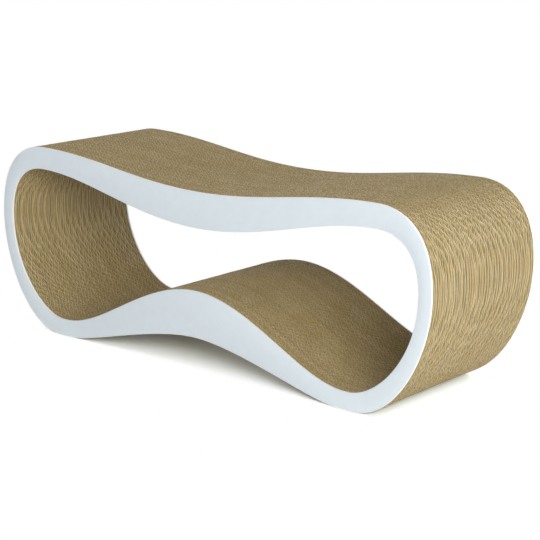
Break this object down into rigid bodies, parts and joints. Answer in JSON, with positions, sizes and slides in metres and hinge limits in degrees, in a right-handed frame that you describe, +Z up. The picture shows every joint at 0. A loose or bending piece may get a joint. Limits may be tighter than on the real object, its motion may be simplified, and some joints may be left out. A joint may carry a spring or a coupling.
{
  "type": "cat scratcher",
  "caption": "Free-standing dumb-bell shaped ring of stacked corrugated board with a smooth panel on each face, for a cat to scratch, climb on and lie in",
  "frame": {"origin": "on the floor, under the middle of the ring", "axes": "+Z up, +X along the length, -Y out of the front panel that the picture shows"},
  "size_m": [0.86, 0.27, 0.308],
  "materials": {
    "coated_panel": "satin",
    "corrugated_board": "matte"
  },
  "bodies": {
    "root": {"front_face_panel": "coated_panel", "corrugated_layer_01": "corrugated_board", "corrugated_layer_02": "corrugated_board", "corrugated_layer_03": "corrugated_board", "corrugated_layer_04": "corrugated_board", "corrugated_layer_05": "corrugated_board", "corrugated_layer_06": "corrugated_board", "corrugated_layer_07": "corrugated_board", "corrugated_layer_08": "corrugated_board", "corrugated_layer_09": "corrugated_board", "corrugated_layer_10": "corrugated_board", "corrugated_layer_11": "corrugated_board", "corrugated_layer_12": "corrugated_board", "corrugated_layer_13": "corrugated_board", "corrugated_layer_14": "corrugated_board", "corrugated_layer_15": "corrugated_board", "corrugated_layer_16": "corrugated_board", "corrugated_layer_17": "corrugated_board", "corrugated_layer_18": "corrugated_board", "corrugated_layer_19": "corrugated_board", "corrugated_layer_20": "corrugated_board", "corrugated_layer_21": "corrugated_board", "corrugated_layer_22": "corrugated_board", "corrugated_layer_23": "corrugated_board", "corrugated_layer_24": "corrugated_board", "corrugated_layer_25": "corrugated_board", "corrugated_layer_26": "corrugated_board", "corrugated_layer_27": "corrugated_board", "corrugated_layer_28": "corrugated_board", "corrugated_layer_29": "corrugated_board", "corrugated_layer_30": "corrugated_board", "corrugated_layer_31": "corrugated_board", "corrugated_layer_32": "corrugated_board", "corrugated_layer_33": "corrugated_board", "corrugated_layer_34": "corrugated_board", "corrugated_layer_35": "corrugated_board", "corrugated_layer_36": "corrugated_board", "corrugated_layer_37": "corrugated_board", "corrugated_layer_38": "corrugated_board", "corrugated_layer_39": "corrugated_board", "corrugated_layer_40": "corrugated_board", "rear_face_panel": "coated_panel"}
  },
  "joints": []
}
